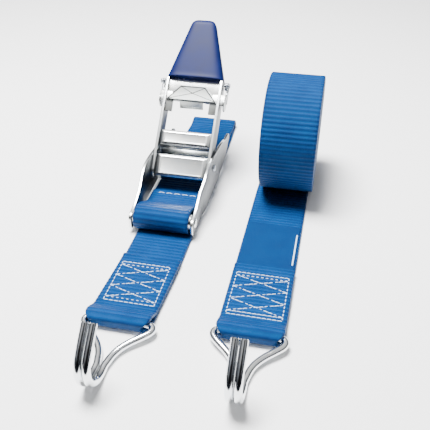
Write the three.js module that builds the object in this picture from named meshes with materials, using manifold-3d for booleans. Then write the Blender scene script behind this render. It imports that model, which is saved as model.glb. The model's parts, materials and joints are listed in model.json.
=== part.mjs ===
// Overcentre buckle tie down, 50 mm webbing: a buckle on its short hooked strap, laid out
// beside the long hooked strap, which is rolled up.
// Millimetres, +Z up. The straps lie along Y with the hooks at -Y, and X runs across them.
// The origin is under the middle of the whole set, on the surface that it lies on.
import * as THREE from 'three';
import { mergeVertices } from 'three/addons/utils/BufferGeometryUtils.js';
import Module from 'manifold-3d';

const wasm = await Module();
wasm.setup();

// ---------------------------------------------------------------- driving dimensions
const WEBBING_WIDTH = 50;
const WEBBING_THICKNESS = 2.6;
const GAP = 0.3;                        // kept between neighbours that touch
const RUNNING_GAP = 0.05;               // radial play of a pin in its hole

const FRAME_INNER_WIDTH = 56.6;
const FRONT_INNER_WIDTH = 53.4;         // the plates close in round the strap's eye
const BASE_PLATE_THICKNESS = 2.5;
const BASE_PLATE_BOTTOM = 3.1;          // the plates stand just over the webbing
const PIVOT_HEIGHT = 28;
const FRONT_BAR_Y = -71;
const FRONT_BAR_RADIUS = 7.2;
const FRONT_BAR_NECK = 3.4;
const TAIL_Y = 79;
const BUCKLE_X = 2;

const LEVER_ANGLE = 45;                 // degrees above the ground, as laid out
const LEVER_OUTER_WIDTH = 56;
const ARM_THICKNESS = 2.5;
const ARM_END = 86.3;                   // along the lever, from the pivot
const GRIP_START = 86.8;
const GRIP_END = 148;
const AXLE_RADIUS = 2.5;
const BAR_WALL = 2;
const LOCK_TRAVEL = 6;

const HOOK_WIRE = 5.6;
const HOOK_CURL_RADIUS = 18.8;
const HOOK_BAR_HALF = 22.3;
const EYE_HALF_WIDTH = 21.5;            // the webbing is folded in a little round the hook's bar
const SHORT_HOOK_BAR_Y = -191;
const SHORT_STRAP_X = 3.5;              // the short strap lies a little to the right
const UPPER_LEAF_X = 2;
const FRONT_EYE_END = -18;
const FOLD_Y = 142;

const LONG_STRAP_X = 98.5;
const LONG_HOOK_BAR_Y = -184.5;
const ROLL_X = 102.5;
const ROLL_RADIUS = 53;
const ROLL_CORE_RADIUS = 9;
const ROLL_Y = 34;

// heights of the middle of the webbing where it lies on the ground, and on itself
const LEAF_1 = WEBBING_THICKNESS / 2;
const LEAF_2 = LEAF_1 + WEBBING_THICKNESS + GAP;
const LEAF_3 = LEAF_2 + WEBBING_THICKNESS + GAP;
const HOOK_EYE_RADIUS = HOOK_WIRE / 2 + GAP + WEBBING_THICKNESS / 2;
const HOOK_BAR_Z = LEAF_1 + HOOK_EYE_RADIUS;
const FRONT_EYE_RADIUS = FRONT_BAR_RADIUS + GAP + WEBBING_THICKNESS / 2;
const FRONT_BAR_Z = LEAF_2 + FRONT_EYE_RADIUS;

// ---------------------------------------------------------------- materials
const finish = (color, roughness, metalness) =>
  new THREE.MeshStandardMaterial({ color, roughness, metalness });
const zincPlate = finish(0xc9ced2, 0.32, 0.9);
const darkSteel = finish(0x8d949b, 0.4, 0.9);
const hookWire = finish(0xdcdfe1, 0.18, 1);
const gripVinyl = finish(0x1c2f7d, 0.45, 0);
const blueWebbing = finish(0x1a6fc4, 0.75, 0);
const labelCloth = finish(0x14508f, 0.8, 0);

// ---------------------------------------------------------------- shape helpers
const point = (x, y) => new THREE.Vector2(x, y);
const radians = THREE.MathUtils.degToRad;

// Turns a closed mesh so that its faces point out.
function facingOut(geometry) {
  const clean = geometry.clone();
  clean.deleteAttribute('normal');
  clean.deleteAttribute('uv');
  const merged = mergeVertices(clean, 1e-4);
  const p = merged.attributes.position;
  const index = merged.index.array;
  const [a, b, c] = [0, 1, 2].map(() => new THREE.Vector3());
  let volume = 0;
  for (let i = 0; i < index.length; i += 3) {
    a.fromBufferAttribute(p, index[i]);
    b.fromBufferAttribute(p, index[i + 1]);
    c.fromBufferAttribute(p, index[i + 2]);
    volume += a.dot(b.cross(c));
  }
  if (volume < 0) {
    for (let i = 0; i < index.length; i += 3) {
      [index[i], index[i + 1]] = [index[i + 1], index[i]];
    }
  }
  return merged;
}

function toSolid(geometry) {
  const merged = facingOut(geometry);
  return new wasm.Manifold(new wasm.Mesh({
    numProp: 3,
    vertProperties: new Float32Array(merged.attributes.position.array),
    triVerts: new Uint32Array(merged.index.array),
  }));
}

function toGeometry(solid) {
  const mesh = solid.getMesh();
  const geometry = new THREE.BufferGeometry();
  const positions = new Float32Array(mesh.vertProperties);
  geometry.setAttribute('position', new THREE.BufferAttribute(positions, 3));
  geometry.setIndex(new THREE.BufferAttribute(new Uint32Array(mesh.triVerts), 1));
  return geometry;
}

const join = (...parts) => toGeometry(parts.map(toSolid).reduce((all, part) => all.add(part)));
const cut = (body, ...tools) =>
  toGeometry(tools.map(toSolid).reduce((left, tool) => left.subtract(tool), toSolid(body)));
const common = (first, second) => toGeometry(toSolid(first).intersect(toSolid(second)));

// Extrudes an outline drawn in the YZ plane from x0 to x1.
function acrossX(outline, x0, x1, curveSegments = 8) {
  const geometry = new THREE.ExtrudeGeometry(outline, {
    depth: x1 - x0, bevelEnabled: false, curveSegments,
  });
  const axes = new THREE.Matrix4().makeBasis(
    new THREE.Vector3(0, 1, 0), new THREE.Vector3(0, 0, 1), new THREE.Vector3(1, 0, 0));
  return geometry.applyMatrix4(axes).translate(x0, 0, 0);
}

// A post whose outline is drawn from above.
function standing(outline, z0, z1) {
  const shape = new THREE.Shape(outline.map(([x, y]) => point(x, y)));
  return new THREE.ExtrudeGeometry(shape, { depth: z1 - z0, bevelEnabled: false }).translate(0, 0, z0);
}

// A bar, pin or disc along X. The profile lists [radius, x] from end to end.
function turnedOnX(profile, segments = 24) {
  const points = profile.map(([radius, x]) => point(radius, x));
  return new THREE.LatheGeometry(points, segments).rotateZ(-Math.PI / 2);
}

const pinOnX = (radius, x0, x1, segments = 24) =>
  turnedOnX([[0, x0], [radius, x0], [radius, x1], [0, x1]], segments);

const box = (x0, x1, y0, y1, z0, z1) =>
  new THREE.BoxGeometry(x1 - x0, y1 - y0, z1 - z0)
    .translate((x0 + x1) / 2, (y0 + y1) / 2, (z0 + z1) / 2);

// An outline whose corners are rounded: each corner is [y, z, radius].
function roundedOutline(corners) {
  const outline = new THREE.Shape();
  corners.forEach(([y, z, radius = 0], i) => {
    const here = point(y, z);
    const before = point(...corners.at(i - 1));
    const after = point(...corners[(i + 1) % corners.length]);
    const enter = before.sub(here).setLength(radius).add(here);
    const leave = after.sub(here).setLength(radius).add(here);
    if (i === 0) outline.moveTo(enter.x, enter.y);
    else outline.lineTo(enter.x, enter.y);
    if (radius > 0) outline.quadraticCurveTo(y, z, leave.x, leave.y);
  });
  outline.closePath();
  return outline;
}

// A length of webbing that follows a path drawn in the YZ plane.
function webbing(path, centreX, divisions = 8) {
  const spine = path.getPoints(divisions).filter((p, i, all) => i === 0 || p.distanceTo(all[i - 1]) > 1e-3);
  const half = WEBBING_THICKNESS / 2;
  const side = (sign) => spine.map((here, i) => {
    const before = spine[Math.max(i - 1, 0)];
    const after = spine[Math.min(i + 1, spine.length - 1)];
    const along = after.clone().sub(before).normalize();
    return point(here.x - sign * half * along.y, here.y + sign * half * along.x);
  });
  const outline = new THREE.Shape([...side(1), ...side(-1).reverse()]);
  return acrossX(outline, centreX - WEBBING_WIDTH / 2, centreX + WEBBING_WIDTH / 2);
}

// A round wire that follows a smooth curve through the given points.
function wire(points, radius, steps, sides) {
  const section = new THREE.Shape(Array.from({ length: sides }, (_, i) => {
    const turn = (2 * Math.PI * i) / sides;
    return point(radius * Math.cos(turn), radius * Math.sin(turn));
  }));
  const extrudePath = new THREE.CatmullRomCurve3(points.map((p) => new THREE.Vector3(...p)));
  return new THREE.ExtrudeGeometry(section, { extrudePath, steps, bevelEnabled: false });
}

// A closed skin over sections that each hold the same number of points.
function loft(sections) {
  const count = sections[0].length;
  const positions = sections.flat().flatMap((p) => [p.x, p.y, p.z]);
  const index = [];
  for (let s = 0; s < sections.length - 1; s += 1) {
    for (let i = 0; i < count; i += 1) {
      const a = s * count + i;
      const b = s * count + ((i + 1) % count);
      index.push(a, b, b + count, a, b + count, a + count);
    }
  }
  const last = (sections.length - 1) * count;
  for (let i = 1; i < count - 1; i += 1) {
    index.push(0, i + 1, i, last, last + i, last + i + 1);
  }
  const geometry = new THREE.BufferGeometry();
  geometry.setAttribute('position', new THREE.Float32BufferAttribute(positions, 3));
  geometry.setIndex(index);
  return geometry;
}

function addPiece(group, name, geometry, material) {
  const mesh = new THREE.Mesh(facingOut(geometry), material);
  mesh.name = name;
  group.add(mesh);
}

const MIRROR_X = new THREE.Matrix4().makeScale(-1, 1, 1);

const kit = new THREE.Group();
const buckle = new THREE.Group();
buckle.position.x = BUCKLE_X;
kit.add(buckle);

// ---------------------------------------------------------------- buckle base
const plateInner = FRAME_INNER_WIDTH / 2;
const plateOuter = plateInner + BASE_PLATE_THICKNESS;
const frontInner = FRONT_INNER_WIDTH / 2;

// The side of the base: a low front, a hump over the pivot and a notched tail.
function basePlateOutline() {
  return roundedOutline([
    [FRONT_BAR_Y - 8.5, BASE_PLATE_BOTTOM, 5],
    [FRONT_BAR_Y - 8.5, 18, 6],
    [-65, 19.5, 8],
    [-27, 38.5, 7],
    [-14, 39.8, 5],
    [6, 38.5, 10],
    [44, 33, 8],
    [59, 28, 4],
    [TAIL_Y - 2, 26.8, 3],
    [TAIL_Y, 19, 2],
    [72, 18, 1],
    [69, 14, 1],
    [56, 8, 5],
    [28, BASE_PLATE_BOTTOM, 10],
  ]);
}

// The right plate. It steps in ahead of the lever, so that it is closer round the strap's eye.
function basePlate() {
  const [stepStart, stepEnd] = [-46, -34];
  const band = standing([
    [frontInner, -100], [frontInner + BASE_PLATE_THICKNESS, -100],
    [frontInner + BASE_PLATE_THICKNESS, stepStart], [plateOuter, stepEnd], [plateOuter, 100],
    [plateInner, 100], [plateInner, stepEnd], [frontInner, stepStart],
  ], -10, 60);
  const plate = common(acrossX(basePlateOutline(), 20, 40), band);
  const pivotHole = pinOnX(AXLE_RADIUS + RUNNING_GAP, 19, 41).translate(0, 0, PIVOT_HEIGHT);
  const barHole = pinOnX(FRONT_BAR_NECK + RUNNING_GAP, 19, 41).translate(0, FRONT_BAR_Y, FRONT_BAR_Z);
  return cut(plate, pivotHole, barHole);
}

// Bars and axles are headed over outside the plates.
function headedBar(inner, radius, neckRadius, headRadius, headThickness) {
  const shoulder = inner - GAP;
  const headInside = inner + BASE_PLATE_THICKNESS + GAP;
  const headOutside = headInside + headThickness;
  const halfProfile = [
    [radius, shoulder], [neckRadius, shoulder], [neckRadius, headInside],
    [headRadius, headInside], [headRadius * 0.8, headOutside], [0, headOutside],
  ];
  const otherHalf = halfProfile.map(([r, x]) => [r, -x]).reverse();
  return turnedOnX([...otherHalf, ...halfProfile]);
}

addPiece(buckle, 'base_plate_left', basePlate().applyMatrix4(MIRROR_X), zincPlate);
addPiece(buckle, 'base_plate_right', basePlate(), zincPlate);
addPiece(buckle, 'front_bar',
  headedBar(frontInner, FRONT_BAR_RADIUS, FRONT_BAR_NECK, FRONT_BAR_NECK + 1, 0.8)
    .translate(0, FRONT_BAR_Y, FRONT_BAR_Z), zincPlate);
addPiece(buckle, 'pivot_axle',
  headedBar(plateInner, AXLE_RADIUS, AXLE_RADIUS - 0.01, 3.4, 1.2).translate(0, 0, PIVOT_HEIGHT), darkSteel);

// ---------------------------------------------------------------- lever
// The lever is drawn flat: Y runs from the pivot to the grip and Z is across its thickness.
const lever = new THREE.Group();
lever.position.z = PIVOT_HEIGHT;
lever.rotation.x = radians(LEVER_ANGLE);
buckle.add(lever);

const armOuter = LEVER_OUTER_WIDTH / 2;
const armInner = armOuter - ARM_THICKNESS;
const SLIDE_BOTTOM_EDGE = 62;
const SLIDE_TOP_EDGE = 77;
const SLIDE_Z = 4;
const SLIDE_THICKNESS = 2;
const WING_START = 61;
const WING_END = 71;
const SPRING_PIN = { y: 83, z: 1, radius: 1.4 };
const TONGUE_HALF = 11.5;

function leverFrame() {
  const armOutline = roundedOutline([
    [-15, -9, 7], [58, -9, 8], [ARM_END, -6, 2], [ARM_END, 7, 2], [58, 8, 8], [-15, 8, 7],
  ]);
  const arms = [-armOuter, armInner].map((x0) => {
    const arm = acrossX(armOutline, x0, x0 + ARM_THICKNESS);
    const hole = pinOnX(AXLE_RADIUS + RUNNING_GAP, x0 - 1, x0 + 4);
    const slot = box(x0 - 1, x0 + 4, WING_START - GAP, WING_END + LOCK_TRAVEL + GAP,
      SLIDE_Z - GAP, SLIDE_Z + SLIDE_THICKNESS + GAP);
    return cut(arm, hole, slot);
  });
  const notch = box(-TONGUE_HALF - 1.5, TONGUE_HALF + 1.5, 60, 73.5, -1, 3.5);
  return join(...arms, cut(topPlate(0), notch));
}

// The plate that joins the arms and runs up into the grip, grown by a margin on all sides.
function topPlate(margin) {
  const outline = new THREE.Shape([
    point(-armOuter + 0.4 - margin, 63 - margin), point(armOuter - 0.4 + margin, 63 - margin),
    point(armOuter - 0.4 + margin, ARM_END), point(9 + margin, 139 + margin),
    point(-9 - margin, 139 + margin), point(-armOuter + 0.4 - margin, ARM_END),
  ]);
  const depth = 2.5 + 2 * margin;
  return new THREE.ExtrudeGeometry(outline, { depth, bevelEnabled: false }).translate(0, 0, -margin);
}

// A pressed box bar, open at both ends, between the arms.
function boxBar(y0, y1, z0, z1) {
  const outline = roundedOutline([[y0, z0, 1.5], [y1, z0, 1.5], [y1, z1, 3], [y0, z1, 3]]);
  outline.holes.push(roundedOutline([
    [y0 + BAR_WALL, z0 + BAR_WALL, 0.5], [y0 + BAR_WALL, z1 - BAR_WALL, 1.5],
    [y1 - BAR_WALL, z1 - BAR_WALL, 1.5], [y1 - BAR_WALL, z0 + BAR_WALL, 0.5],
  ]));
  return acrossX(outline, -armInner + GAP, armInner - GAP, 4);
}

// A sloping plate under the slot between the bars, which leads the webbing out.
function webbingGuide() {
  const outline = roundedOutline([[16.6, -4.6], [10.3, -11.3], [11.4, -12.4], [16.6, -6.9]]);
  return acrossX(outline, -armInner + GAP, armInner - GAP);
}

// The dipped grip narrows from the arms to a rounded end, and rises a little.
function grip() {
  const length = GRIP_END - GRIP_START;
  const tipRound = 7;
  const steps = [0, 0.25, 0.5, 0.75, 0.89, 0.94, 0.98, 1];
  const sections = steps.map((t) => {
    const fromTip = (1 - t) * length;
    const roundOff = fromTip < tipRound ? Math.sqrt(1 - ((tipRound - fromTip) / tipRound) ** 2) : 1;
    const halfWidth = (29 - 17.6 * t) * (0.68 + 0.32 * roundOff);
    const halfHeight = (9.6 - 4 * t) * (0.4 + 0.6 * roundOff);
    const rise = -0.6 + 3 * t;
    return Array.from({ length: 24 }, (_, i) => {
      const turn = (2 * Math.PI * i) / 24;
      const [c, s] = [Math.cos(turn), Math.sin(turn)];
      const squared = 0.45;
      return new THREE.Vector3(
        halfWidth * Math.sign(c) * Math.abs(c) ** squared, GRIP_START + t * length,
        rise + halfHeight * Math.sign(s) * Math.abs(s) ** squared);
    });
  });
  return cut(loft(sections), topPlate(GAP));
}

addPiece(lever, 'lever_frame', leverFrame(), zincPlate);
addPiece(lever, 'lower_bar', boxBar(-14, 8, -7, 5.5), zincPlate);
addPiece(lever, 'upper_bar', boxBar(17, 32, -7, 6.5), zincPlate);
addPiece(lever, 'webbing_guide', webbingGuide(), zincPlate);
addPiece(lever, 'grip', grip(), gripVinyl);

// ---------------------------------------------------------------- lock slide
const EAR_X0 = plateOuter + GAP;
const EAR_X1 = EAR_X0 + 1.3;
const WING_Z = [SLIDE_Z, SLIDE_Z + SLIDE_THICKNESS];

// An ear outside the base plate, whose tail runs under the spring, with a nose in behind the plate.
function slideEar(side) {
  const outline = new THREE.Shape();
  outline.absarc(64, 0, 7, radians(80), radians(262), false);
  outline.lineTo(82, -8.5);
  outline.absarc(83, -6, 2.6, radians(-80), radians(75), false);
  outline.lineTo(75.5, -2.5);
  outline.closePath();
  const ear = acrossX(outline, EAR_X0, EAR_X1, 10);
  const wing = box(20, EAR_X1, WING_START, WING_END, ...WING_Z);
  const nose = box(plateInner + 0.4, EAR_X0 + 0.5, 81.2, 84.2, -8, -4);
  return [ear, wing, nose].map((piece) => (side < 0 ? piece.applyMatrix4(MIRROR_X) : piece));
}

function lockSlide() {
  const plateOutline = new THREE.Shape([
    point(-25.1, SLIDE_BOTTOM_EDGE), point(25.1, SLIDE_BOTTOM_EDGE),
    point(12.4, SLIDE_TOP_EDGE), point(-12.4, SLIDE_TOP_EDGE),
  ]);
  const plate = new THREE.ExtrudeGeometry(plateOutline, {
    depth: SLIDE_THICKNESS, bevelEnabled: false,
  }).translate(0, 0, SLIDE_Z);
  const tongue = acrossX(roundedOutline([
    [SLIDE_BOTTOM_EDGE + 0.6, WING_Z[1]], [SLIDE_BOTTOM_EDGE - 0.2, WING_Z[1]],
    [SLIDE_BOTTOM_EDGE - 5.6, 0.7], [SLIDE_BOTTOM_EDGE - 4.4, -0.5], [SLIDE_BOTTOM_EDGE + 0.6, 4.2],
  ]), -TONGUE_HALF, TONGUE_HALF);
  const tabs = [-25.1, 18.1].map((x) =>
    box(x, x + 7, SLIDE_BOTTOM_EDGE - 11, SLIDE_BOTTOM_EDGE + 1, ...WING_Z));
  return join(plate, tongue, ...tabs, ...slideEar(1), ...slideEar(-1));
}

addPiece(lever, 'lock_slide', lockSlide(), zincPlate);

// ---------------------------------------------------------------- return springs and pins
// Each spring is wound round a pin on the arm, and its leg lies along the slide's ear.
function returnSpring() {
  const coilRadius = 2.5;
  const turns = 2.5;
  const steps = 30;
  const coil = Array.from({ length: steps + 1 }, (_, i) => {
    const turn = radians(270) + (2 * Math.PI * turns * i) / steps;
    return [EAR_X1 + 1 - (i / steps) * 3, SPRING_PIN.y + coilRadius * Math.cos(turn),
      SPRING_PIN.z + coilRadius * Math.sin(turn)];
  });
  const [legX, , legZ] = coil[0];
  const leg = [65, 71, 77].map((y) => [legX, y, legZ]);
  return wire([...leg, ...coil], 0.5, 56, 5);
}

const springPin = () => turnedOnX([
  [0, armOuter + GAP], [SPRING_PIN.radius, armOuter + GAP], [SPRING_PIN.radius, EAR_X1 + 1.8],
  [2.4, EAR_X1 + 1.8], [2, EAR_X1 + 2.5], [0, EAR_X1 + 2.5],
], 16).translate(0, SPRING_PIN.y, SPRING_PIN.z);

for (const [side, suffix] of [[-1, 'left'], [1, 'right']]) {
  const place = side < 0 ? MIRROR_X : new THREE.Matrix4();
  addPiece(lever, `spring_pin_${suffix}`, springPin().applyMatrix4(place), darkSteel);
  addPiece(lever, `slide_spring_${suffix}`, returnSpring().applyMatrix4(place), darkSteel);
}

// ---------------------------------------------------------------- hooks
// A double hook bent from one wire: a bar in the strap's eye, and two prongs side by side.
function wireHook() {
  const prongX = HOOK_WIRE / 2 + 0.1;
  const bottom = HOOK_WIRE / 2 - HOOK_BAR_Z;
  const curlY = -46.5;
  const curl = [];
  for (let turn = -205; turn <= -90; turn += 23) {
    curl.push([prongX, curlY + HOOK_CURL_RADIUS * Math.cos(radians(turn)),
      bottom + HOOK_CURL_RADIUS * (1 + Math.sin(radians(turn)))]);
  }
  const prong = [
    [prongX, -45, bottom + 45.5], [prongX, -51.6, bottom + 39.6], [prongX, -58.3, bottom + 33.2],
  ];
  const leg = [
    [prongX, -40, bottom], [3.6, -36.5, bottom + 0.1], [5.2, -30, bottom + 0.3],
    [8.2, -24, bottom + 0.7], [13.5, -17.6, bottom + 1.2], [19.8, -12, bottom + 1.9],
    [24.7, -7, -0.6], [25.9, -3.6, -0.25], [24.8, -1.05, -0.05], [HOOK_BAR_HALF, 0, 0], [11, 0, 0],
  ];
  const half = [...prong, ...curl, ...leg];
  const otherHalf = half.map(([x, y, z]) => [-x, y, z]).reverse();
  return wire([...half, ...otherHalf], HOOK_WIRE / 2, 100, 8);
}

const placeHook = (x, y) => wireHook().translate(x, y, HOOK_BAR_Z);

addPiece(kit, 'hook_short', placeHook(SHORT_STRAP_X, SHORT_HOOK_BAR_Y), hookWire);
addPiece(kit, 'hook_long', placeHook(LONG_STRAP_X, LONG_HOOK_BAR_Y), hookWire);

// ---------------------------------------------------------------- short strap
// From its cut end, over and round the hook's bar, and back along the ground to endY.
function hookEndPath(barY, cutEndY, endY) {
  const path = new THREE.Path();
  path.moveTo(cutEndY, LEAF_2);
  path.lineTo(barY + 17, LEAF_2);
  path.bezierCurveTo(barY + 10, LEAF_2, barY + 7, HOOK_BAR_Z + HOOK_EYE_RADIUS,
    barY, HOOK_BAR_Z + HOOK_EYE_RADIUS);
  path.absarc(barY, HOOK_BAR_Z, HOOK_EYE_RADIUS, radians(90), radians(270), false);
  path.lineTo(endY, LEAF_1);
  return path;
}

// A strap's hook end, folded in from both sides where it passes round the hook's bar.
function hookEnd(barY, cutEndY, endY, x) {
  const strip = webbing(hookEndPath(barY, cutEndY, endY), x);
  const [eyeY, fullY, wide] = [barY + 6.5, barY + 15.5, WEBBING_WIDTH / 2 + 1];
  return common(strip, standing([
    [x - EYE_HALF_WIDTH, barY - 20], [x + EYE_HALF_WIDTH, barY - 20], [x + EYE_HALF_WIDTH, eyeY],
    [x + wide, fullY], [x + wide, endY + 10], [x - wide, endY + 10], [x - wide, fullY],
    [x - EYE_HALF_WIDTH, eyeY],
  ], -1, 40));
}

const foldStart = FOLD_Y - 14;

function foldPath() {
  const path = new THREE.Path();
  path.moveTo(foldStart + GAP, LEAF_1);
  path.lineTo(FOLD_Y, LEAF_1);
  path.absarc(FOLD_Y, LEAF_1 + 3.2, 3.2, radians(-90), radians(90), false);
  path.bezierCurveTo(FOLD_Y - 5, LEAF_1 + 6.4, FOLD_Y - 7, LEAF_2, foldStart + GAP, LEAF_2);
  return path;
}

// Forward over itself, round the front bar, and back to a cut end that is sewn down.
function frontEyePath() {
  const top = FRONT_BAR_Z + FRONT_EYE_RADIUS;
  const path = new THREE.Path();
  path.moveTo(foldStart, LEAF_2);
  path.lineTo(FRONT_BAR_Y, LEAF_2);
  path.absarc(FRONT_BAR_Y, FRONT_BAR_Z, FRONT_EYE_RADIUS, radians(-90), radians(-270), true);
  path.bezierCurveTo(FRONT_BAR_Y + 15, top, FRONT_BAR_Y + 23, LEAF_3, FRONT_BAR_Y + 41, LEAF_3);
  path.lineTo(FRONT_EYE_END, LEAF_3);
  return path;
}

addPiece(kit, 'short_strap_lower',
  hookEnd(SHORT_HOOK_BAR_Y, -114.5, foldStart, SHORT_STRAP_X), blueWebbing);
addPiece(kit, 'short_strap_fold',
  webbing(foldPath(), (SHORT_STRAP_X + UPPER_LEAF_X) / 2), blueWebbing);
addPiece(kit, 'short_strap_upper', webbing(frontEyePath(), UPPER_LEAF_X), blueWebbing);

// ---------------------------------------------------------------- long strap
const rollZ = WEBBING_THICKNESS + GAP + ROLL_RADIUS;
const halfWidth = WEBBING_WIDTH / 2;
const LABEL = { width: 46, y0: -106, y1: -46, thickness: 0.6 };

addPiece(kit, 'long_strap_lead',
  hookEnd(LONG_HOOK_BAR_Y, -108, ROLL_Y + 22, LONG_STRAP_X), blueWebbing);
addPiece(kit, 'long_strap_roll', turnedOnX([
  [ROLL_CORE_RADIUS, -halfWidth], [ROLL_RADIUS, -halfWidth],
  [ROLL_RADIUS, halfWidth], [ROLL_CORE_RADIUS, halfWidth], [ROLL_CORE_RADIUS, -halfWidth],
], 48).translate(ROLL_X, ROLL_Y, rollZ), blueWebbing);
addPiece(kit, 'care_label', box(
  LONG_STRAP_X - LABEL.width / 2, LONG_STRAP_X + LABEL.width / 2, LABEL.y0, LABEL.y1,
  WEBBING_THICKNESS + GAP, WEBBING_THICKNESS + GAP + LABEL.thickness), labelCloth);

// ---------------------------------------------------------------- origin
kit.updateMatrixWorld(true);
const extent = new THREE.Box3().setFromObject(kit, true);
const middle = extent.getCenter(new THREE.Vector3());
kit.position.set(-middle.x, -middle.y, -extent.min.z);

export default kit;
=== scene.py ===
"""Overcentre buckle tie down: webbing, stitching, pressed and plated steel, dipped grip and wire hooks,
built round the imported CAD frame. Metres, +Z up, straps along Y with the hooks at -Y."""

import json
import math

import bmesh
import bpy
import numpy as np
from mathutils import Matrix, Vector


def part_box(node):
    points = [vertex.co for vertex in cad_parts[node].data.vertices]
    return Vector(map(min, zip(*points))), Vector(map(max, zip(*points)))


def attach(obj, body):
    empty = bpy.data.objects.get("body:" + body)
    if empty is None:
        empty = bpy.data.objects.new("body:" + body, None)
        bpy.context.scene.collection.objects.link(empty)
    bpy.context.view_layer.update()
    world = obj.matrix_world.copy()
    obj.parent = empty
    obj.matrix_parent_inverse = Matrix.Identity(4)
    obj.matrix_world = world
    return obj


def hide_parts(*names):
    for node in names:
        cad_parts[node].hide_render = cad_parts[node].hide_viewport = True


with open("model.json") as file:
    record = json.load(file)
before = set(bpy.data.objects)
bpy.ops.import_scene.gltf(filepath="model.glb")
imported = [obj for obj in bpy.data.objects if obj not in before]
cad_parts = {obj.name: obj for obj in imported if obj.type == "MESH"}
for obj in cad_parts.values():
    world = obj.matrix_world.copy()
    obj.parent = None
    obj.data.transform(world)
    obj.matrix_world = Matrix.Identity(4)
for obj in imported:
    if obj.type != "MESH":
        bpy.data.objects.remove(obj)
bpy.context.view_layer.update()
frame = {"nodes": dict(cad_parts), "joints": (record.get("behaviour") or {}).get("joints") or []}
MM = 0.001

# ---------------------------------------------------------------- places, from the frame
JOINTS = {joint["name"]: joint for joint in frame["joints"]}


def middle(node):
    low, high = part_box(node)
    return (low + high) / 2


PIVOT = Vector(JOINTS["lever_pivot"]["pos_m"])
LEVER_ALONG = Vector(JOINTS["lock_slide_travel"]["axis"]).normalized()
LEVER_UP = Vector((1, 0, 0)).cross(LEVER_ALONG)
LEVER = Matrix((
    (1, LEVER_ALONG.x, LEVER_UP.x, PIVOT.x),
    (0, LEVER_ALONG.y, LEVER_UP.y, PIVOT.y),
    (0, LEVER_ALONG.z, LEVER_UP.z, PIVOT.z),
    (0, 0, 0, 1),
))
SHORT_HOOK_BAR = Vector(JOINTS["short_hook_swing"]["pos_m"])
LONG_HOOK_BAR = Vector(JOINTS["long_hook_swing"]["pos_m"])
SHORT_HOOK_BAR.x = middle("hook_short").x
LONG_HOOK_BAR.x = middle("hook_long").x
FRONT_BAR = middle("front_bar")
ROLL = middle("long_strap_roll")

WEBBING_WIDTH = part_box("long_strap_lead")[1].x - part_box("long_strap_lead")[0].x
WEBBING_THICKNESS = 2.6 * MM
LEAF_GAP = 0.3 * MM
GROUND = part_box("long_strap_lead")[0].z
LEAF_1 = GROUND + WEBBING_THICKNESS / 2
LEAF_2 = LEAF_1 + WEBBING_THICKNESS + LEAF_GAP
LEAF_3 = LEAF_2 + WEBBING_THICKNESS + LEAF_GAP
HOOK_WIRE_RADIUS = 2.8 * MM
HOOK_EYE_RADIUS = HOOK_WIRE_RADIUS + LEAF_GAP + WEBBING_THICKNESS / 2
FRONT_EYE_RADIUS = FRONT_BAR.z - LEAF_2

# ---------------------------------------------------------------- camera and light
VIEW_AZIMUTH = math.radians(12)
VIEW_ELEVATION = math.radians(35)
VIEW_DISTANCE = 0.5
VIEW_TARGET = Vector((0.0044, -0.0269, 0.0332))
LENS_MM = 50.2
WORLD_STRENGTH = 0.95


def look_along(azimuth, elevation):
    return Vector((
        -math.sin(azimuth) * math.cos(elevation),
        math.cos(azimuth) * math.cos(elevation),
        -math.sin(elevation),
    ))


def add_camera():
    data = bpy.data.cameras.new("camera")
    data.sensor_width = 36
    data.lens = LENS_MM
    data.clip_start = 0.01
    camera = bpy.data.objects.new("camera", data)
    bpy.context.scene.collection.objects.link(camera)
    forward = look_along(VIEW_AZIMUTH, VIEW_ELEVATION)
    camera.location = VIEW_TARGET - forward * VIEW_DISTANCE
    camera.rotation_euler = forward.to_track_quat("-Z", "Y").to_euler()
    bpy.context.scene.camera = camera


def add_area_light(name, azimuth, elevation, distance, size, energy):
    data = bpy.data.lights.new(name, "AREA")
    data.shape = "RECTANGLE"
    data.size, data.size_y = size
    data.energy = energy
    light = bpy.data.objects.new(name, data)
    bpy.context.scene.collection.objects.link(light)
    forward = look_along(math.radians(azimuth), math.radians(elevation))
    light.location = Vector((0, 0, 0.03)) - forward * distance
    light.rotation_euler = forward.to_track_quat("-Z", "Y").to_euler()


def add_world():
    """A studio that is bright high up and dark round the camera, for dark streaks down the wire."""
    world = bpy.data.worlds.new("studio")
    bpy.context.scene.world = world
    world.use_nodes = True
    nodes, links = world.node_tree.nodes, world.node_tree.links
    background = nodes["Background"]
    place = nodes.new("ShaderNodeTexCoord")
    split = nodes.new("ShaderNodeSeparateXYZ")
    links.new(place.outputs["Generated"], split.inputs[0])
    height = color_ramp(nodes, links, split.outputs["Z"],
                        [(0.0, (0.02, 0.022, 0.03)), (1.0, (0.6, 0.6, 0.6)),
                         (0.25, (0.08, 0.083, 0.09)), (0.55, (0.3, 0.31, 0.33)), (0.82, (1.0, 1.0, 1.0))])
    towards = -look_along(VIEW_AZIMUTH, math.radians(24))
    facing = nodes.new("ShaderNodeVectorMath")
    facing.operation = "DOT_PRODUCT"
    facing.inputs[1].default_value = towards
    links.new(place.outputs["Generated"], facing.inputs[0])
    dark = color_ramp(nodes, links, facing.outputs["Value"],
                      [(0.80, (1.0, 1.0, 1.0)), (0.90, (0.03, 0.03, 0.035))])
    both = nodes.new("ShaderNodeVectorMath")
    both.operation = "MULTIPLY"
    links.new(height, both.inputs[0])
    links.new(dark, both.inputs[1])
    links.new(both.outputs["Vector"], background.inputs["Color"])
    background.inputs["Strength"].default_value = WORLD_STRENGTH


def add_floor():
    mesh = bpy.data.meshes.new("floor")
    mesh.from_pydata([(-0.7, -0.25, 0), (0.5, -0.25, 0), (0.5, 1.0, 0), (-0.7, 1.0, 0)], [], [(0, 1, 2, 3)])
    mesh.materials.append(floor_material())
    floor = bpy.data.objects.new("floor", mesh)
    bpy.context.scene.collection.objects.link(floor)
    return floor


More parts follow.
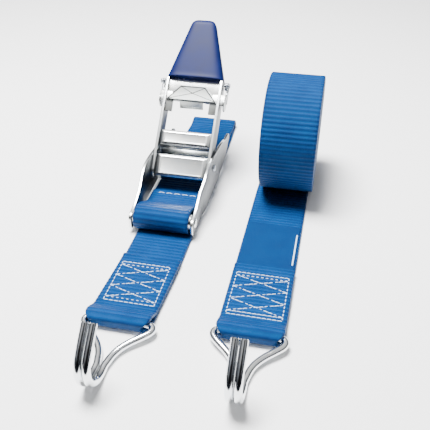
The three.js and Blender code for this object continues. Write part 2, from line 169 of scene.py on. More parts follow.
# ---------------------------------------------------------------- materials
def new_material(name, color, roughness, metallic=0.0):
    material = bpy.data.materials.new(name)
    material.use_nodes = True
    nodes, links = material.node_tree.nodes, material.node_tree.links
    shader = nodes["Principled BSDF"]
    shader.inputs["Base Color"].default_value = (*color, 1)
    shader.inputs["Roughness"].default_value = roughness
    shader.inputs["Metallic"].default_value = metallic
    return material, nodes, links, shader


def math_node(nodes, links, operation, first, second=None, clamp=False):
    node = nodes.new("ShaderNodeMath")
    node.operation = operation
    node.use_clamp = clamp
    for socket, value in zip(node.inputs, (first, second)):
        if value is None:
            continue
        if isinstance(value, (int, float)):
            socket.default_value = value
        else:
            links.new(value, socket)
    return node.outputs[0]


def noise_node(nodes, links, scale, detail=3.0, vector=None):
    node = nodes.new("ShaderNodeTexNoise")
    node.inputs["Scale"].default_value = scale
    node.inputs["Detail"].default_value = detail
    if vector is None:
        place = nodes.new("ShaderNodeTexCoord")
        vector = place.outputs["Object"]
    links.new(vector, node.inputs["Vector"])
    return node.outputs["Fac"]


def color_ramp(nodes, links, factor, stops):
    ramp = nodes.new("ShaderNodeValToRGB")
    links.new(factor, ramp.inputs[0])
    elements = ramp.color_ramp.elements
    for index, (position, color) in enumerate(stops):
        element = elements[index] if index < 2 else elements.new(position)
        element.position = position
        element.color = (*color, 1)
    return ramp.outputs[0]


def map_range(nodes, links, value, low, high):
    node = nodes.new("ShaderNodeMapRange")
    links.new(value, node.inputs["Value"])
    node.inputs["To Min"].default_value = low
    node.inputs["To Max"].default_value = high
    return node.outputs[0]


def bump(nodes, links, shader, height, distance, strength=1.0, before=None):
    node = nodes.new("ShaderNodeBump")
    node.inputs["Distance"].default_value = distance
    node.inputs["Strength"].default_value = strength
    links.new(height, node.inputs["Height"])
    if before is not None:
        links.new(before, node.inputs["Normal"])
    links.new(node.outputs[0], shader.inputs["Normal"])
    return node.outputs[0]


RIB_PITCH = 4.0 * MM
RIB_DEPTH = 0.5 * MM


def webbing_material(name, deep, bright, rib_painted_shade=0.13):
    """Polyester webbing: cross ribs, with painted shade in the rib hollows and painted highlight on the rib
    tops, a fine weave both ways, and darker colour near both edges. UVs are metres.
    """
    material, nodes, links, shader = new_material(name, deep, 0.5)
    shader.inputs["Specular IOR Level"].default_value = 0.3
    shader.inputs["Specular Tint"].default_value = (0.2, 0.62, 1.0, 1)
    shader.inputs["Sheen Weight"].default_value = 0.08
    shader.inputs["Sheen Roughness"].default_value = 0.4
    shader.inputs["Sheen Tint"].default_value = (0.1, 0.5, 1.0, 1)
    uv = nodes.new("ShaderNodeUVMap")
    uv.uv_map = "strap"
    split = nodes.new("ShaderNodeSeparateXYZ")
    links.new(uv.outputs[0], split.inputs[0])
    along, across = split.outputs["X"], split.outputs["Y"]

    def wave(coordinate, pitch):
        turned = math_node(nodes, links, "MULTIPLY", coordinate, 2 * math.pi / pitch)
        return math_node(nodes, links, "SINE", turned)

    fine_pitch = 0.8 * MM
    warp = wave(across, fine_pitch)
    shift = math_node(nodes, links, "MULTIPLY", wave(across, 2 * fine_pitch), 0.25 * fine_pitch)
    slanted = math_node(nodes, links, "ADD", along, shift)
    weft = wave(slanted, fine_pitch)
    weave = math_node(nodes, links, "MULTIPLY", warp, weft)
    rib = math_node(nodes, links, "COSINE",
                    math_node(nodes, links, "MULTIPLY", along, 2 * math.pi / RIB_PITCH))
    cloudy = noise_node(nodes, links, 60.0)
    speckle = noise_node(nodes, links, 900.0, 2.0)
    # Painted shade and highlight: the colour darkens in each rib hollow and lightens on each rib top, in step
    # with the ribs' lift.
    tone_and_rib_shade = math_node(nodes, links, "MULTIPLY", rib, rib_painted_shade)
    tone_and_rib_shade = math_node(nodes, links, "ADD", tone_and_rib_shade, math_node(nodes, links, "MULTIPLY", weave, 0.07))
    tone_and_rib_shade = math_node(nodes, links, "ADD", tone_and_rib_shade, math_node(nodes, links, "MULTIPLY", cloudy, 0.4))
    tone_and_rib_shade = math_node(nodes, links, "ADD", tone_and_rib_shade, math_node(nodes, links, "MULTIPLY", speckle, 0.3))
    # Darker colour within 2.2 mm of each edge.
    side = math_node(nodes, links, "ABSOLUTE", across)
    edge_band = math_node(nodes, links, "GREATER_THAN", side, WEBBING_WIDTH / 2 - 2.2 * MM)
    tone_and_rib_shade = math_node(nodes, links, "SUBTRACT", tone_and_rib_shade, math_node(nodes, links, "MULTIPLY", edge_band, 0.12))
    links.new(color_ramp(nodes, links, tone_and_rib_shade, [(0.1, deep), (0.7, bright)]), shader.inputs["Base Color"])
    links.new(map_range(nodes, links, speckle, 0.38, 0.56), shader.inputs["Roughness"])
    height = math_node(nodes, links, "ADD", weave, math_node(nodes, links, "MULTIPLY", speckle, 0.8))
    bump(nodes, links, shader, height, 0.12 * MM, 0.8)
    return material


def zinc_material(name, color, low, high, grain=(40, 900, 900)):
    """Bright zinc plate on pressed sheet: faint rolling grain, cloudy passivation and small scuffs."""
    material, nodes, links, shader = new_material(name, color, 0.3, 1.0)
    place = nodes.new("ShaderNodeTexCoord")
    stretch = nodes.new("ShaderNodeMapping")
    stretch.inputs["Scale"].default_value = grain
    links.new(place.outputs["Object"], stretch.inputs["Vector"])
    lines = noise_node(nodes, links, 1.0, 4.0, stretch.outputs[0])
    cloudy = noise_node(nodes, links, 90.0, 4.0)
    scuffs = noise_node(nodes, links, 700.0, 6.0)
    mixed = math_node(nodes, links, "ADD", math_node(nodes, links, "MULTIPLY", lines, 0.5),
                      math_node(nodes, links, "MULTIPLY", cloudy, 0.5))
    cool = tuple(c * k for c, k in zip(color, (0.90, 0.94, 0.99)))
    warm = tuple(c * k for c, k in zip(color, (1.0, 0.985, 0.95)))
    links.new(color_ramp(nodes, links, mixed, [(0.35, cool), (0.65, warm)]), shader.inputs["Base Color"])
    rough = math_node(nodes, links, "ADD", math_node(nodes, links, "MULTIPLY", mixed, 0.6),
                      math_node(nodes, links, "MULTIPLY", scuffs, 0.4))
    links.new(map_range(nodes, links, rough, low, high), shader.inputs["Roughness"])
    bump(nodes, links, shader, math_node(nodes, links, "ADD", lines, scuffs), 0.02 * MM, 0.35)
    return material


def vinyl_material():
    """Dipped vinyl: smooth and satin, with a slight flow of the dip and fine orange peel."""
    material, nodes, links, shader = new_material("grip_vinyl", (0.002, 0.006, 0.06), 0.5)
    shader.inputs["Specular IOR Level"].default_value = 0.12
    cloudy = noise_node(nodes, links, 45.0)
    peel = noise_node(nodes, links, 1400.0, 2.0)
    links.new(color_ramp(nodes, links, cloudy, [(0.3, (0.0015, 0.005, 0.045)), (0.7, (0.003, 0.009, 0.07))]),
              shader.inputs["Base Color"])
    links.new(map_range(nodes, links, cloudy, 0.4, 0.55), shader.inputs["Roughness"])
    bump(nodes, links, shader, peel, 0.05 * MM, 0.5)
    return material


def thread_material():
    material, nodes, links, shader = new_material("stitch_thread", (0.5, 0.65, 0.85), 0.55)
    shader.inputs["Sheen Weight"].default_value = 0.3
    fibre = noise_node(nodes, links, 2500.0, 2.0)
    links.new(color_ramp(nodes, links, fibre, [(0.3, (0.4, 0.56, 0.8)), (0.7, (0.62, 0.76, 0.92))]),
              shader.inputs["Base Color"])
    bump(nodes, links, shader, fibre, 0.1 * MM, 0.7)
    return material


def floor_material():
    material, _, _, shader = new_material("floor", (0.9, 0.9, 0.9), 0.9)
    shader.inputs["Specular IOR Level"].default_value = 0.1
    return material


WEBBING = webbing_material("blue_webbing", (0.0, 0.01, 0.07), (0.0, 0.048, 0.19))
LABEL_CLOTH = webbing_material("label_cloth", (0.0, 0.008, 0.06), (0.0, 0.03, 0.13), 0.0)
ZINC = zinc_material("zinc_plate", (0.83, 0.84, 0.83), 0.16, 0.34)
# A dark copy of the zinc: painted shade for the flat sides of the plates.
SIDE_PAINTED_SHADE_ZINC = zinc_material("plate_side_painted_shade", (0.085, 0.092, 0.1), 0.28, 0.45)
DARK_STEEL = zinc_material("dark_steel", (0.55, 0.57, 0.6), 0.25, 0.45)
HOOK_STEEL = zinc_material("hook_wire", (0.86, 0.87, 0.88), 0.07, 0.2, (300, 300, 300))
PRESSED = zinc_material("pressed_plate", (0.45, 0.46, 0.44), 0.25, 0.4)
# Near-black metal for painted shade lines along the slide's creases.
CREASE_PAINTED_SHADE = zinc_material("crease", (0.06, 0.065, 0.07), 0.35, 0.5)
VINYL = vinyl_material()
THREAD = thread_material()


# ---------------------------------------------------------------- mesh helpers
def add_object(name, vertices, faces, material, smooth_angle=None, body=None, replaces=()):
    mesh = bpy.data.meshes.new(name)
    mesh.from_pydata([tuple(v) for v in vertices], [], faces)
    return finish_piece(name, mesh, material, smooth_angle, body, replaces)


def finish_piece(name, mesh, material, smooth_angle, body, replaces):
    turn_out(mesh)
    mesh.shade_smooth()
    if smooth_angle is not None:
        mesh.set_sharp_from_angle(angle=math.radians(smooth_angle))
    piece = bpy.data.objects.new(name, mesh)
    bpy.context.scene.collection.objects.link(piece)
    piece.data.materials.append(material)
    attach(piece, body)
    if replaces:
        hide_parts(*replaces)
    return piece


def turn_out(mesh):
    shape = bmesh.new()
    shape.from_mesh(mesh)
    bmesh.ops.recalc_face_normals(shape, faces=shape.faces)
    shape.to_mesh(mesh)
    shape.free()


def smooth_curve(points, spacing):
    """A smooth open curve through the points, resampled evenly at about the given spacing."""
    points = np.asarray(points, float)
    chords = np.linalg.norm(np.diff(points, axis=0), axis=1) ** 0.5
    knots = np.concatenate([[0], np.cumsum(chords)])
    ends = np.vstack([2 * points[0] - points[1], points, 2 * points[-1] - points[-2]])
    knots = np.concatenate([[knots[0] - chords[0]], knots, [knots[-1] + chords[-1]]])
    dense = []
    for i in range(len(points) - 1):
        t0, t1, t2, t3 = knots[i:i + 4]
        p0, p1, p2, p3 = ends[i:i + 4]
        for t in np.linspace(t1, t2, 24, endpoint=i == len(points) - 2):
            a1 = (t1 - t) / (t1 - t0) * p0 + (t - t0) / (t1 - t0) * p1
            a2 = (t2 - t) / (t2 - t1) * p1 + (t - t1) / (t2 - t1) * p2
            a3 = (t3 - t) / (t3 - t2) * p2 + (t - t2) / (t3 - t2) * p3
            b1 = (t2 - t) / (t2 - t0) * a1 + (t - t0) / (t2 - t0) * a2
            b2 = (t3 - t) / (t3 - t1) * a2 + (t - t1) / (t3 - t1) * a3
            dense.append((t2 - t) / (t2 - t1) * b1 + (t - t1) / (t2 - t1) * b2)
    return resample(np.array(dense), spacing)


def resample(points, spacing):
    gaps = np.linalg.norm(np.diff(points, axis=0), axis=1)
    reach = np.concatenate([[0], np.cumsum(gaps)])
    count = max(int(round(reach[-1] / spacing)), 2)
    places = np.linspace(0, reach[-1], count + 1)
    return np.stack([np.interp(places, reach, points[:, k]) for k in range(points.shape[1])], 1)


def tube(points, radius, sides, chamfer):
    """Vertices and faces of a round wire along the points, with chamfered ends."""
    points = np.asarray(points, float)
    along = np.gradient(points, axis=0)
    along /= np.linalg.norm(along, axis=1)[:, None]
    side = np.cross(along[0], [0.0, 0.0, 1.0])
    if np.linalg.norm(side) < 0.1:
        side = np.cross(along[0], [1.0, 0.0, 0.0])
    vertices, faces = [], []
    last = len(points) - 1
    rings = [(0, 0, radius - chamfer), (0, chamfer, radius)]
    rings += [(i, 0, radius) for i in range(1, last)]
    rings += [(last, -chamfer, radius), (last, 0, radius - chamfer)]
    for index, shift, ring_radius in rings:
        forward = along[index]
        side = side - forward * np.dot(side, forward)
        side /= np.linalg.norm(side)
        up = np.cross(forward, side)
        centre = points[index] + forward * shift
        for k in range(sides):
            turn = 2 * math.pi * k / sides
            vertices.append(centre + ring_radius * (math.cos(turn) * side + math.sin(turn) * up))
    for r in range(len(rings) - 1):
        for k in range(sides):
            a, b = r * sides + k, r * sides + (k + 1) % sides
            faces.append((a, b, b + sides, a + sides))
    faces.append(tuple(range(sides)))
    faces.append(tuple((len(rings) - 1) * sides + k for k in range(sides)))
    return vertices, faces


def arc(centre, radius, start, end, step=4.0):
    """Points on a circle in the YZ plane. Angles are in degrees, from +Y towards +Z."""
    count = max(int(abs(end - start) / step), 2)
    return [(centre[0] + radius * math.cos(math.radians(a)), centre[1] + radius * math.sin(math.radians(a)))
            for a in np.linspace(start, end, count + 1)]


def bezier(start, first, second, end, count=24):
    t = np.linspace(0, 1, count + 1)[:, None]
    start, first, second, end = (np.array(p, float) for p in (start, first, second, end))
    near = (1 - t) ** 3 * start + 3 * (1 - t) ** 2 * t * first
    return list(near + 3 * (1 - t) * t ** 2 * second + t ** 3 * end)


def worked_copy(node, body, material, bevel=0.45 * MM, segments=2, smooth_angle=40):
    """A plated copy of a CAD part with its pressed or sawn edges eased, which stands for that part."""
    source = frame["nodes"][node].data
    shape = bmesh.new()
    shape.from_mesh(source)
    bmesh.ops.remove_doubles(shape, verts=shape.verts, dist=1e-6)
    bmesh.ops.dissolve_limit(shape, angle_limit=math.radians(1.0), verts=shape.verts, edges=shape.edges)
    sharp = [e for e in shape.edges if e.is_manifold and e.calc_face_angle(0) > math.radians(35)]
    bmesh.ops.bevel(shape, geom=sharp, offset=bevel, segments=segments, profile=0.5,
                    affect="EDGES", clamp_overlap=True)
    mesh = bpy.data.meshes.new(node + "_finished")
    shape.to_mesh(mesh)
    shape.free()
    return finish_piece(node + "_finished", mesh, material, smooth_angle, body, (node,))


def in_lever(points):
    return [LEVER @ Vector(p) for p in points]


def lever_box(node):
    """Lowest and highest corner of a CAD node in the lever's own axes."""
    back = LEVER.inverted()
    local = np.array([back @ v.co for v in frame["nodes"][node].data.vertices])
    return local.min(0), local.max(0)


# ---------------------------------------------------------------- webbing
EDGE_STEPS = 4
ACROSS_STEPS = 10
FINE_STEP = 0.8 * MM
COARSE_STEP = 3.0 * MM
EYE_FOLD = 6 * MM                        # how far each edge is turned in at the hook's bar
EYE_FOLD_LENGTH = 9 * MM
EYE_TO_CUT_END = 76.5 * MM
CUT_END_LIFT = 0.5 * MM
FOLD_RADIUS = 3.2 * MM
FOLD_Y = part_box("short_strap_fold")[1].y - FOLD_RADIUS - WEBBING_THICKNESS / 2
SHORT_HOOK_X = middle("short_strap_lower").x
SHORT_GROUND_X = SHORT_HOOK_X + 1.5 * MM
SHORT_UPPER_X = middle("short_strap_upper").x
SHORT_CUT_END = SHORT_HOOK_BAR.y + EYE_TO_CUT_END
LONG_CUT_END = LONG_HOOK_BAR.y + EYE_TO_CUT_END
FRONT_EYE_END = FRONT_BAR.y + 53 * MM
LEAD_X = middle("long_strap_lead").x
ROLL_CORE = 10 * MM
ROLL_PITCH = WEBBING_THICKNESS + 0.12 * MM


def strap_section():
    """(across, up) points round a strip of webbing, whose edges are rounded."""
    half_width, half_thickness = WEBBING_WIDTH / 2, WEBBING_THICKNESS / 2
    flat = half_width - half_thickness
    top = [(u, half_thickness) for u in np.linspace(-flat, flat, ACROSS_STEPS + 1)]
    right = [(flat + half_thickness * math.sin(a), half_thickness * math.cos(a))
             for a in np.linspace(0, math.pi, EDGE_STEPS + 1)[1:-1]]
    bottom = [(u, -half_thickness) for u in np.linspace(flat, -flat, ACROSS_STEPS + 1)]
    left = [(-flat - half_thickness * math.sin(a), -half_thickness * math.cos(a))
            for a in np.linspace(0, math.pi, EDGE_STEPS + 1)[1:-1]]
    return top + right + bottom + left


def distance_along(path):
    return np.concatenate([[0], np.cumsum(np.linalg.norm(np.diff(path, axis=0), axis=1))])


def smoothstep(t):
    t = min(max(t, 0.0), 1.0)
    return t * t * (3 - 2 * t)


def strap_piece(name, path, centre_x, eye_at, body, replaces):
    """A strip of webbing along a path of (y, z) points. centre_x gives its middle from the
    distance along it, and it is folded in a little at its hook's bar, which is eye_at along it."""
    reach = distance_along(path)
    along = np.gradient(path, reach, axis=0)
    along /= np.linalg.norm(along, axis=1)[:, None]
    section = strap_section()
    count = len(section)
    vertices, faces, uvs = [], [], []
    for (y, z), (dy, dz), distance in zip(path, along, reach):
        x = centre_x(distance)
        lift = 0.5 * RIB_DEPTH * (math.cos(2 * math.pi * distance / RIB_PITCH) - 1)
        folded = 1 - math.sin(math.pi / 2 * min(abs(distance - eye_at) / EYE_FOLD_LENGTH, 1))
        width = 1 - 2 * EYE_FOLD / WEBBING_WIDTH * folded
        for across, up in section:
            across = across * width
            up = up + math.copysign(lift, up) if abs(up) > 1e-6 else up
            vertices.append((x + across, y - dz * up, z + dy * up))
            uvs.append((distance, across))
    for i in range(len(path) - 1):
        for k in range(count):
            a, b = i * count + k, i * count + (k + 1) % count
            faces.append((a, b, b + count, a + count))
    faces.append(tuple(range(count)))
    faces.append(tuple((len(path) - 1) * count + k for k in range(count)))
    mesh = bpy.data.meshes.new(name)
    mesh.from_pydata(vertices, [], faces)
    layer = mesh.uv_layers.new(name="strap")
    for loop in mesh.loops:
        layer.data[loop.index].uv = uvs[loop.vertex_index]
    piece = finish_piece(name, mesh, WEBBING, 60, body, replaces)
    return piece, reach[-1]


def hook_end(bar):
    """From a strap's cut end, over and round its hook's bar, to the ground behind the bar."""
    cut_end_y = bar.y + EYE_TO_CUT_END
    down_y = bar.y + 17 * MM
    top = bar.z + HOOK_EYE_RADIUS
    points = [(cut_end_y, LEAF_2 + CUT_END_LIFT), (cut_end_y - 4 * MM, LEAF_2), (down_y, LEAF_2)]
    points += bezier((down_y, LEAF_2), (bar.y + 10 * MM, LEAF_2), (bar.y + 7 * MM, top), (bar.y, top))
    points += arc((bar.y, bar.z), HOOK_EYE_RADIUS, 90, 270)
    return points


def length_to(path, reach, y, z):
    """How far along a path its closest point to (y, z) is."""
    return reach[int(np.argmin(np.hypot(path[:, 0] - y, path[:, 1] - z)))]


def short_strap():
    """From the hook under the buckle, folded back behind it, and forward to the eye round the front bar."""
    front_top = FRONT_BAR.z + FRONT_EYE_RADIUS
    fold_top = LEAF_1 + 2 * FOLD_RADIUS
    points = hook_end(SHORT_HOOK_BAR)
    points += arc((FOLD_Y, LEAF_1 + FOLD_RADIUS), FOLD_RADIUS, -90, 90)
    points += bezier((FOLD_Y, fold_top), (FOLD_Y - 5 * MM, fold_top),
                     (FOLD_Y - 7 * MM, LEAF_2), (FOLD_Y - 14 * MM, LEAF_2))
    points += arc((FRONT_BAR.y, FRONT_BAR.z), FRONT_EYE_RADIUS, -90, -270)
    points += bezier((FRONT_BAR.y, front_top), (FRONT_BAR.y + 15 * MM, front_top),
                     (FRONT_BAR.y + 23 * MM, LEAF_3), (FRONT_BAR.y + 41 * MM, LEAF_3))
    points += [(FRONT_EYE_END, LEAF_3)]
    path = resample(np.array([tuple(p) for p in points]), FINE_STEP)
    reach = distance_along(path)
    fold_at = reach[int(np.argmax(path[:, 0]))]
    eye_at = length_to(path, reach, SHORT_HOOK_BAR.y - HOOK_EYE_RADIUS, SHORT_HOOK_BAR.z)

    def centre_x(distance):
        from_eye = abs(distance - eye_at) / (90 * MM)
        ground = SHORT_HOOK_X + (SHORT_GROUND_X - SHORT_HOOK_X) * (2 * smoothstep(from_eye) - 1)
        swing = smoothstep((distance - fold_at + 60 * MM) / (120 * MM))
        return ground + (SHORT_UPPER_X - SHORT_GROUND_X) * swing

    return strap_piece("short_strap", path, centre_x, eye_at, "buckle_base",
                       ("short_strap_lower", "short_strap_fold", "short_strap_upper"))


def long_strap():
    """The ground run, then up the back of the roll and round and round to its core."""
    points = hook_end(LONG_HOOK_BAR) + [(ROLL.y, LEAF_1)]
    lead = resample(np.array([tuple(p) for p in points]), FINE_STEP)
    outer = ROLL.z - LEAF_1
    turns = (outer - ROLL_CORE) / ROLL_PITCH
    spiral = []
    turned = 0.0
    while turned < turns:
        radius = outer - ROLL_PITCH * turned
        angle = 2 * math.pi * turned - math.pi / 2
        spiral.append((ROLL.y + radius * math.cos(angle), ROLL.z + radius * math.sin(angle)))
        step = FINE_STEP if turned < 1.05 else COARSE_STEP
        turned += step / (2 * math.pi * radius)
    path = np.vstack([lead, spiral[1:]])
    reach = distance_along(path)
    eye_at = length_to(path, reach, LONG_HOOK_BAR.y - HOOK_EYE_RADIUS, LONG_HOOK_BAR.z)
    lifts_at = reach[len(lead) - 1]

    def centre_x(distance):
        return LEAD_X + (ROLL.x - LEAD_X) * smoothstep((distance - lifts_at + 30 * MM) / (130 * MM))

    return strap_piece("long_strap", path, centre_x, eye_at, "long_strap",
                       ("long_strap_lead", "long_strap_roll"))


# ---------------------------------------------------------------- stitching
STITCH_RADIUS = 0.33 * MM
STITCH_LENGTH = 3.6 * MM
STITCH_GAP = 0.4 * MM


def stitched_line(start, end, surface_z):
    """Short threads, sunk at their ends, along a straight line from start to end, as tube meshes."""
    start, end = np.array(start, float), np.array(end, float)
    length = np.linalg.norm(end - start)
    count = max(int(round(length / (STITCH_LENGTH + STITCH_GAP))), 1)
    pitch = length / count
    direction = (end - start) / length
    threads = []
    for i in range(count):
        a = start + direction * (i * pitch + STITCH_GAP / 2)
        b = a + direction * (pitch - STITCH_GAP)
        points = []
        for t in np.linspace(0, 1, 6):
            x, y = a + (b - a) * t
            sink = STITCH_RADIUS * (1.0 - math.sin(math.pi * t))
            points.append((x, y, surface_z + 0.8 * STITCH_RADIUS - sink))
        threads.append(tube(points, STITCH_RADIUS, 6, 0.3 * STITCH_RADIUS))
    return threads


def join_meshes(parts):
    vertices, faces = [], []
    for part_vertices, part_faces in parts:
        offset = len(vertices)
        vertices.extend(part_vertices)
        faces.extend(tuple(i + offset for i in face) for face in part_faces)
    return vertices, faces


def stitch_box(name, centre_x, y0, y1, width, surface_z, body):
    """Double rows at both ends, a row down each side, and three crosses between them."""
    left, right = centre_x - width / 2, centre_x + width / 2
    row_gap = 3.4 * MM
    lines = []
    for y in (y0, y0 + row_gap, y1 - row_gap, y1):
        lines.append(((left, y), (right, y)))
    for x in (left, right):
        lines.append(((x, y0), (x, y1)))
    low, high = y0 + row_gap, y1 - row_gap
    levels = np.linspace(high, low, 4)
    for near, far in zip(levels, levels[1:]):
        lines.append(((left, near), (right, far)))
        lines.append(((right, near), (left, far)))
    threads = [t for start, end in lines for t in stitched_line(start, end, surface_z)]
    vertices, faces = join_meshes(threads)
    return add_object(name, vertices, faces, THREAD, None, body)


def zigzag_row(name, centre_x, y, width, swing, surface_z, body):
    count = 11
    xs = np.linspace(centre_x - width / 2, centre_x + width / 2, count + 1)
    corners = [(x, y + (swing if i % 2 else -swing)) for i, x in enumerate(xs)]
    threads = [t for start, end in zip(corners, corners[1:]) for t in stitched_line(start, end, surface_z)]
    vertices, faces = join_meshes(threads)
    return add_object(name, vertices, faces, THREAD, None, body)


# ---------------------------------------------------------------- hooks
def hook(name, bar, body, node):
    """Two prongs side by side, bent with their legs and the bar in the strap's eye from one wire."""
    prong_x = HOOK_WIRE_RADIUS + 0.1 * MM
    bottom = GROUND + HOOK_WIRE_RADIUS - bar.z
    curl_radius, curl_y = 18.8 * MM, -46.5 * MM
    prong = [(prong_x, y * MM, bottom + z * MM) for y, z in ((-45, 45.5), (-51.6, 39.6), (-58.3, 33.2))]
    curl = [(prong_x, curl_y + curl_radius * math.cos(math.radians(a)),
             bottom + curl_radius * (1 + math.sin(math.radians(a)))) for a in range(-205, -89, 23)]
    leg = [(prong_x, -40 * MM, bottom), (3.6 * MM, -36.5 * MM, bottom + 0.1 * MM),
           (5.2 * MM, -30 * MM, bottom + 0.3 * MM), (8.2 * MM, -24 * MM, bottom + 0.7 * MM),
           (13.5 * MM, -17.6 * MM, bottom + 1.2 * MM), (19.8 * MM, -12 * MM, bottom + 1.9 * MM),
           (24.7 * MM, -7 * MM, -0.6 * MM), (25.9 * MM, -3.6 * MM, -0.25 * MM),
           (24.8 * MM, -1.05 * MM, -0.05 * MM), (22.3 * MM, 0, 0), (11 * MM, 0, 0)]
    half = prong + curl + leg
    points = half + [(-x, y, z) for x, y, z in reversed(half)]
    path = smooth_curve(points, 1.0 * MM) + np.array(bar)
    vertices, faces = tube(path, HOOK_WIRE_RADIUS, 28, 0.7 * MM)
    return add_object(name, vertices, faces, HOOK_STEEL, 40, body, (node,))


# ---------------------------------------------------------------- lever parts
def paint_side_shade(piece):
    """Painted shade: the flat sides of a pressed plate take a far darker, slightly rougher copy of the zinc
    than its cut edges.
    """
    piece.data.materials.append(SIDE_PAINTED_SHADE_ZINC)
    for face in piece.data.polygons:
        if abs(face.normal.x) > 0.95:
            face.material_index = 1


def pressed_bar(name, node):
    """A pressed pan: its face stands up from four sloping borders, and its walls turn down."""
    low, high = lever_box(node)
    slope, end_slope = 2.6 * MM, 4.1 * MM
    shape = bmesh.new()

    def ring(end_inset, inset, height):
        corners = [(low[0] + end_inset, low[1] + inset), (high[0] - end_inset, low[1] + inset),
                   (high[0] - end_inset, high[1] - inset), (low[0] + end_inset, high[1] - inset)]
        return [shape.verts.new(LEVER @ Vector((x, y, height))) for x, y in corners]

    top = high[2]
    rings = [ring(0, 0, low[2]), ring(0, 0, top - 1.5 * MM), ring(end_slope, slope, top),
             ring(end_slope + 1.2 * MM, slope + 1.2 * MM, top - 0.25 * MM)]
    for lower, upper in zip(rings, rings[1:]):
        for k in range(4):
            shape.faces.new((lower[k], lower[(k + 1) % 4], upper[(k + 1) % 4], upper[k]))
    shape.faces.new(rings[-1])
    bmesh.ops.recalc_face_normals(shape, faces=shape.faces)
    bmesh.ops.solidify(shape, geom=shape.faces[:], thickness=1.4 * MM)
    sharp = [e for e in shape.edges if e.is_manifold and e.calc_face_angle(0) > math.radians(12)]
    bmesh.ops.bevel(shape, geom=sharp, offset=0.45 * MM, segments=3, profile=0.5,
                    affect="EDGES", clamp_overlap=True)
    mesh = bpy.data.meshes.new(name)
    shape.to_mesh(mesh)
    shape.free()
    return finish_piece(name, mesh, ZINC, 50, "lever", (node,))


def grip():
    """The dipped grip: it narrows to a rounded tip, and its rim stands up a little where the dip ends."""
    low, high = lever_box("grip")
    length = high[1] - low[1]
    start = low[1]
    tip_round = 6 * MM
    steps = [-0.012, 0.0, 0.012, 0.03, 0.06]
    steps += list(np.linspace(0.1, 0.86, 16))
    steps += list(1 - (tip_round / length) * (1 - np.sin(np.linspace(0, math.pi / 2, 12))))
    rings, count = [], 56
    for t in steps:
        from_tip = (1 - t) * length
        tip = max(0.0, (tip_round - from_tip) / tip_round)
        round_off = math.sqrt(max(1 - tip * tip, 0.0))
        lip = 0.3 * MM * math.exp(-((t - 0.012) / 0.02) ** 2)
        base_turn = 0.8 * MM if t < 0 else 0.0
        half_width = (28.5 - 17.1 * max(t, 0)) * MM - 4.2 * MM * (1 - round_off) - base_turn
        half_height = (9.6 - 4 * max(t, 0)) * MM * (0.4 + 0.6 * round_off) + lip - base_turn
        rise = (-0.6 + 3 * t) * MM
        ring = []
        for k in range(count):
            turn = 2 * math.pi * k / count
            c, s = math.cos(turn), math.sin(turn)
            ring.append((half_width * math.copysign(abs(c) ** 0.45, c), start + max(t, 0) * length,
                         rise + half_height * math.copysign(abs(s) ** 0.5, s)))
        rings.append(in_lever(ring))
    vertices = [v for ring in rings for v in ring]
    faces = []
    for r in range(len(rings) - 1):
        for k in range(count):
            a, b = r * count + k, r * count + (k + 1) % count
            faces.append((a, b, b + count, a + count))
    faces.append(tuple(range(count)))
    faces.append(tuple((len(rings) - 1) * count + k for k in range(count)))
    return add_object("dipped_grip", vertices, faces, VINYL, 60, "lever", ("grip",))


def slide_panel():
    """The slide's pressed face: a shallow dish whose corners run in to the middle as two crossing creases."""
    low_edge, high_edge = 62 * MM, 77 * MM
    half_low, half_high = 24.9 * MM, 12.4 * MM
    face, rim = 5.2 * MM, 8.3 * MM
    middle_y = low_edge + 0.55 * (high_edge - low_edge)

    def ring(inset, z):
        low_x, low_y = half_low - 1.9 * inset, low_edge + inset
        high_x, high_y = half_high - 0.7 * inset, high_edge - inset
        return [(-low_x, low_y, z), (low_x, low_y, z), (high_x, high_y, z), (-high_x, high_y, z)]

    under_rim = rim - 0.3 * MM
    rings = [ring(0, face), ring(0.2 * MM, under_rim), ring(0.7 * MM, rim), ring(1.3 * MM, under_rim)]
    vertices = in_lever([p for r in rings for p in r] + [(0, middle_y, rim - 1.2 * MM)])
    faces = [(0, 1, 2, 3)]
    for r in range(3):
        for k in range(4):
            a, b = 4 * r + k, 4 * r + (k + 1) % 4
            faces.append((a, b, b + 4, a + 4))
    faces += [(12 + k, 12 + (k + 1) % 4, 16) for k in range(4)]
    add_object("slide_panel", vertices, faces, PRESSED, 12, "lock_slide")
    # Painted shade: thin dark tubes along the crossing creases and round the rim, where shade falls.
    creases = []
    for corner in ring(1.1 * MM, rim - 0.2 * MM):
        ends = in_lever([corner, (0, middle_y, rim - 1.15 * MM)])
        creases.append(tube([ends[0].lerp(ends[1], t) for t in (0, 0.33, 0.66, 1)], 0.3 * MM, 6, 0.1 * MM))
    outline = ring(0.45 * MM, rim - 0.1 * MM)
    for start, end in zip(outline, outline[1:] + outline[:1]):
        ends = in_lever([start, end])
        creases.append(tube([ends[0].lerp(ends[1], t) for t in (0, 0.33, 0.66, 1)], 0.32 * MM, 6, 0.1 * MM))
    vertices, faces = join_meshes(creases)
    add_object("slide_crease_painted_shade", vertices, faces, CREASE_PAINTED_SHADE, None, "lock_slide")


def return_spring(name, side):
    """A wound spring on its pin, whose straight leg lies beside the slide's ear. Side is 1 or -1."""
    low, high = lever_box("slide_spring_right")
    coil_radius, wire_radius = 2.5 * MM, 0.5 * MM
    centre_y, centre_z = high[1] - coil_radius - wire_radius, high[2] - coil_radius - wire_radius
    outer = high[0] - wire_radius
    points = [(side * outer, low[1] + t * (centre_y - 2 * MM - low[1]), centre_z - coil_radius)
              for t in np.linspace(0, 1, 12)]
    for t in np.linspace(0.02, 1, 70):
        turn = math.radians(270) + 2 * math.pi * 2.5 * t
        points.append((side * (outer - 3 * MM * t), centre_y + coil_radius * math.cos(turn),
                       centre_z + coil_radius * math.sin(turn)))
    vertices, faces = tube(in_lever(points), wire_radius, 10, 0.15 * MM)
    return add_object("return_spring_" + name, vertices, faces, DARK_STEEL, 50, "lever",
                      ("slide_spring_" + name,))


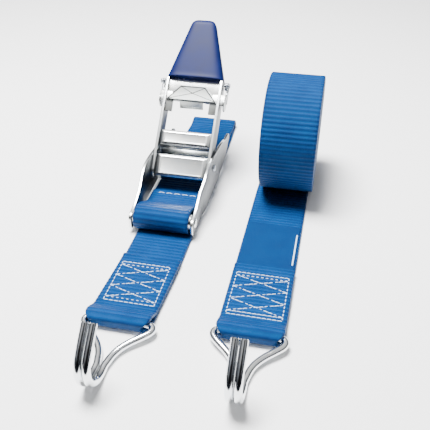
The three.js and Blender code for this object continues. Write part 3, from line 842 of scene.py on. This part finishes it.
def label():
    """A thin blank label, flat at its end near the hook and a little wavy towards the other."""
    low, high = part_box("care_label")
    across, along = 24, 40
    vertices, faces, uvs = [], [], []
    for layer_z in (high.z, low.z):
        for j in range(along + 1):
            for i in range(across + 1):
                u, v = i / across, j / along
                x = low.x + (high.x - low.x) * u
                y = low.y + (high.y - low.y) * v
                wave = 0.35 * MM * math.sin(2.5 * math.pi * v + 1.5 * u) * v + 0.5 * MM * v ** 3
                vertices.append((x, y, layer_z + max(wave, 0)))
                uvs.append((y, x - (low.x + high.x) / 2))
    row = across + 1
    sheet = row * (along + 1)
    for j in range(along):
        for i in range(across):
            a = j * row + i
            faces.append((a, a + 1, a + 1 + row, a + row))
            faces.append((a + sheet, a + sheet + row, a + sheet + row + 1, a + sheet + 1))
    border = [i for i in range(row)] + [j * row + across for j in range(1, along + 1)]
    border += [along * row + i for i in range(across - 1, -1, -1)]
    border += [j * row for j in range(along - 1, 0, -1)]
    for a, b in zip(border, border[1:] + border[:1]):
        faces.append((a, a + sheet, b + sheet, b))
    mesh = bpy.data.meshes.new("label_flap")
    mesh.from_pydata(vertices, [], faces)
    layer = mesh.uv_layers.new(name="strap")
    for loop in mesh.loops:
        layer.data[loop.index].uv = uvs[loop.vertex_index]
    return finish_piece("label_flap", mesh, LABEL_CLOTH, 60, "long_strap", ("care_label",))


def label_edge_thread():
    low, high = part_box("care_label")
    x = high.x - 1.5 * MM
    points = [(x, y, high.z + 0.3 * MM) for y in np.linspace(low.y + 6 * MM, high.y - 12 * MM, 24)]
    vertices, faces = tube(points, 0.65 * MM, 8, 0.3 * MM)
    return add_object("label_edge_thread", vertices, faces, THREAD, None, "long_strap")


# ---------------------------------------------------------------- build
add_camera()
add_area_light("key", -110, 77, 1.2, (0.5, 0.5), 80)
add_world()

add_floor()

short, short_length = short_strap()
long, long_length = long_strap()
upper_face = LEAF_2 + WEBBING_THICKNESS / 2
short_box = stitch_box("short_stitching", SHORT_HOOK_X, SHORT_CUT_END - 57 * MM, SHORT_CUT_END - 11 * MM,
                       40 * MM, upper_face, "buckle_base")
long_box = stitch_box("long_stitching", LEAD_X, LONG_CUT_END - 59 * MM, LONG_CUT_END - 11 * MM,
                      42 * MM, upper_face, "long_strap")
front_row = zigzag_row("front_eye_stitching", SHORT_UPPER_X + 2 * MM, FRONT_EYE_END - 5 * MM,
                       42 * MM, 1.2 * MM, LEAF_3 + WEBBING_THICKNESS / 2, "buckle_base")
label_piece = label()
edge_thread = label_edge_thread()

hook("short_wire_hook", SHORT_HOOK_BAR, "short_hook", "hook_short")
hook("long_wire_hook", LONG_HOOK_BAR, "long_hook", "hook_long")

for node in ("base_plate_left", "base_plate_right"):
    paint_side_shade(worked_copy(node, "buckle_base", ZINC, 0.7 * MM))
worked_copy("front_bar", "buckle_base", ZINC, 0.3 * MM)
worked_copy("pivot_axle", "buckle_base", DARK_STEEL, 0.3 * MM)
paint_side_shade(worked_copy("lever_frame", "lever", ZINC, 0.5 * MM))
pressed_bar("lower_pressed_bar", "lower_bar")
pressed_bar("upper_pressed_bar", "upper_bar")
worked_copy("webbing_guide", "lever", ZINC, 0.4 * MM)
grip()
worked_copy("lock_slide", "lock_slide", PRESSED, 0.3 * MM)
slide_panel()
for name, side in (("left", -1), ("right", 1)):
    worked_copy("spring_pin_" + name, "lever", DARK_STEEL, 0.2 * MM)
    return_spring(name, side)
